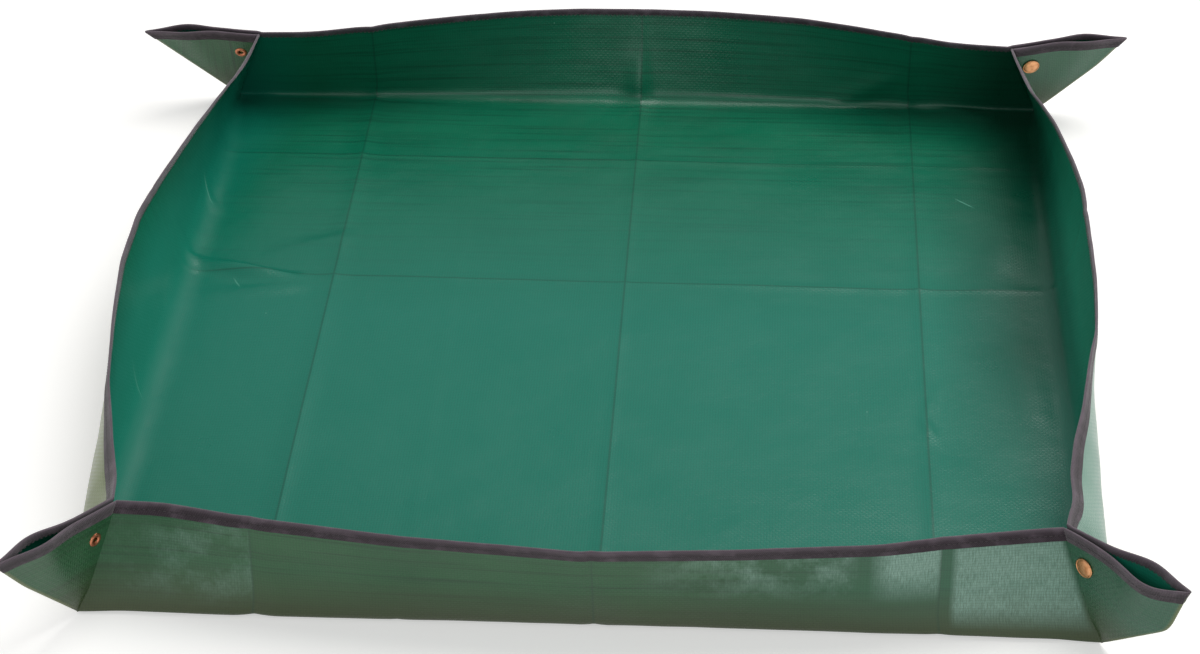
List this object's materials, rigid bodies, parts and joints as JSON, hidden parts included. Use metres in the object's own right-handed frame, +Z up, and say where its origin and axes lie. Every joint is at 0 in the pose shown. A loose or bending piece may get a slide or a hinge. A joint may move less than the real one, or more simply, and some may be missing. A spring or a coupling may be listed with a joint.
{
  "type": "foldable repotting mat",
  "caption": "Square waterproof mat whose edges stand up as low walls when the corners are pinched and snapped, for repotting plants.",
  "frame": {"origin": "on the ground under the middle of the floor", "axes": "+Z up; the front wall faces -Y and the right wall +X; the mat looks the same from each of its sides"},
  "size_m": [0.9969, 0.9107, 0.1098],
  "materials": {
    "tarpaulin": "woven polyethylene tape coated on both faces, glossy green inside, duller outside",
    "binding_tape": "folded woven polyester tape, matt dark plum grey, stitched",
    "snap_brass": "pressed and plated, copper tinted, satin"
  },
  "bodies": {
    "floor": {"floor_panel": "tarpaulin"},
    "front_wall": {"front_wall_panel": "tarpaulin", "front_wall_binding": "binding_tape"},
    "back_wall": {"back_wall_panel": "tarpaulin", "back_wall_binding": "binding_tape"},
    "left_wall": {"left_wall_panel": "tarpaulin", "left_wall_binding": "binding_tape"},
    "right_wall": {"right_wall_panel": "tarpaulin", "right_wall_binding": "binding_tape"},
    "front_wall_left_ear": {"front_wall_left_ear_panel": "tarpaulin", "front_wall_left_ear_binding": "binding_tape", "front_wall_left_ear_snap_eyelet": "snap_brass", "front_wall_left_ear_snap_stud": "snap_brass"},
    "front_wall_right_ear": {"front_wall_right_ear_panel": "tarpaulin", "front_wall_right_ear_binding": "binding_tape", "front_wall_right_ear_snap_cap": "snap_brass", "front_wall_right_ear_snap_socket": "snap_brass"},
    "right_wall_front_ear": {"right_wall_front_ear_panel": "tarpaulin", "right_wall_front_ear_binding": "binding_tape", "right_wall_front_ear_snap_eyelet": "snap_brass", "right_wall_front_ear_snap_stud": "snap_brass"},
    "right_wall_back_ear": {"right_wall_back_ear_panel": "tarpaulin", "right_wall_back_ear_binding": "binding_tape", "right_wall_back_ear_snap_cap": "snap_brass", "right_wall_back_ear_snap_socket": "snap_brass"},
    "back_wall_right_ear": {"back_wall_right_ear_panel": "tarpaulin", "back_wall_right_ear_binding": "binding_tape", "back_wall_right_ear_snap_eyelet": "snap_brass", "back_wall_right_ear_snap_stud": "snap_brass"},
    "back_wall_left_ear": {"back_wall_left_ear_panel": "tarpaulin", "back_wall_left_ear_binding": "binding_tape", "back_wall_left_ear_snap_cap": "snap_brass", "back_wall_left_ear_snap_socket": "snap_brass"},
    "left_wall_back_ear": {"left_wall_back_ear_panel": "tarpaulin", "left_wall_back_ear_binding": "binding_tape", "left_wall_back_ear_snap_eyelet": "snap_brass", "left_wall_back_ear_snap_stud": "snap_brass"},
    "left_wall_front_ear": {"left_wall_front_ear_panel": "tarpaulin", "left_wall_front_ear_binding": "binding_tape", "left_wall_front_ear_snap_cap": "snap_brass", "left_wall_front_ear_snap_socket": "snap_brass"}
  },
  "joints": [
    {"name": "front_wall_fold", "type": "hinge", "parent": "floor", "child": "front_wall", "pos_m": [0, -0.405, 0.0005], "axis": [1, 0, 0], "range_deg": [0, 72]},
    {"name": "back_wall_fold", "type": "hinge", "parent": "floor", "child": "back_wall", "pos_m": [0, 0.405, 0.0005], "axis": [-1, 0, 0], "range_deg": [0, 72]},
    {"name": "left_wall_fold", "type": "hinge", "parent": "floor", "child": "left_wall", "pos_m": [-0.405, 0, 0.0005], "axis": [0, -1, 0], "range_deg": [0, 72]},
    {"name": "right_wall_fold", "type": "hinge", "parent": "floor", "child": "right_wall", "pos_m": [0.405, 0, 0.0005], "axis": [0, 1, 0], "range_deg": [0, 72]},
    {"name": "front_wall_left_ear_fold", "type": "hinge", "parent": "front_wall", "child": "front_wall_left_ear", "pos_m": [-0.40158, -0.40547, 0.00067], "axis": [-0.3192, -0.3192, -0.8923], "range_deg": [0, 46.56]},
    {"name": "front_wall_right_ear_fold", "type": "hinge", "parent": "front_wall", "child": "front_wall_right_ear", "pos_m": [0.40158, -0.40547, 0.00067], "axis": [-0.3192, 0.3192, 0.8923], "range_deg": [0, 38.56]},
    {"name": "right_wall_front_ear_fold", "type": "hinge", "parent": "right_wall", "child": "right_wall_front_ear", "pos_m": [0.40547, -0.40158, 0.00067], "axis": [0.3192, -0.3192, -0.8923], "range_deg": [0, 30.56]},
    {"name": "right_wall_back_ear_fold", "type": "hinge", "parent": "right_wall", "child": "right_wall_back_ear", "pos_m": [0.40547, 0.40158, 0.00067], "axis": [-0.3192, -0.3192, 0.8923], "range_deg": [0, 70.56]},
    {"name": "back_wall_right_ear_fold", "type": "hinge", "parent": "back_wall", "child": "back_wall_right_ear", "pos_m": [0.40158, 0.40547, 0.00067], "axis": [0.3192, 0.3192, -0.8923], "range_deg": [-1.44, 0]},
    {"name": "back_wall_left_ear_fold", "type": "hinge", "parent": "back_wall", "child": "back_wall_left_ear", "pos_m": [-0.40158, 0.40547, 0.00067], "axis": [0.3192, -0.3192, 0.8923], "range_deg": [-10.44, 0]},
    {"name": "left_wall_back_ear_fold", "type": "hinge", "parent": "left_wall", "child": "left_wall_back_ear", "pos_m": [-0.40547, 0.40158, 0.00067], "axis": [-0.3192, 0.3192, -0.8923], "range_deg": [0, 79.56]},
    {"name": "left_wall_front_ear_fold", "type": "hinge", "parent": "left_wall", "child": "left_wall_front_ear", "pos_m": [-0.40547, -0.40158, 0.00067], "axis": [0.3192, 0.3192, 0.8923], "range_deg": [0, 22.56]}
  ],
  "couplings": [
    {"joint": "back_wall_fold", "follows": "front_wall_fold", "ratio": 1},
    {"joint": "left_wall_fold", "follows": "front_wall_fold", "ratio": 1},
    {"joint": "right_wall_fold", "follows": "front_wall_fold", "ratio": 1},
    {"joint": "front_wall_left_ear_fold", "follows": "front_wall_fold", "ratio": 0.64667},
    {"joint": "front_wall_right_ear_fold", "follows": "front_wall_fold", "ratio": 0.53556},
    {"joint": "right_wall_front_ear_fold", "follows": "front_wall_fold", "ratio": 0.42444},
    {"joint": "right_wall_back_ear_fold", "follows": "front_wall_fold", "ratio": 0.98},
    {"joint": "back_wall_right_ear_fold", "follows": "front_wall_fold", "ratio": -0.02},
    {"joint": "back_wall_left_ear_fold", "follows": "front_wall_fold", "ratio": -0.145},
    {"joint": "left_wall_back_ear_fold", "follows": "front_wall_fold", "ratio": 1.105},
    {"joint": "left_wall_front_ear_fold", "follows": "front_wall_fold", "ratio": 0.31333}
  ]
}
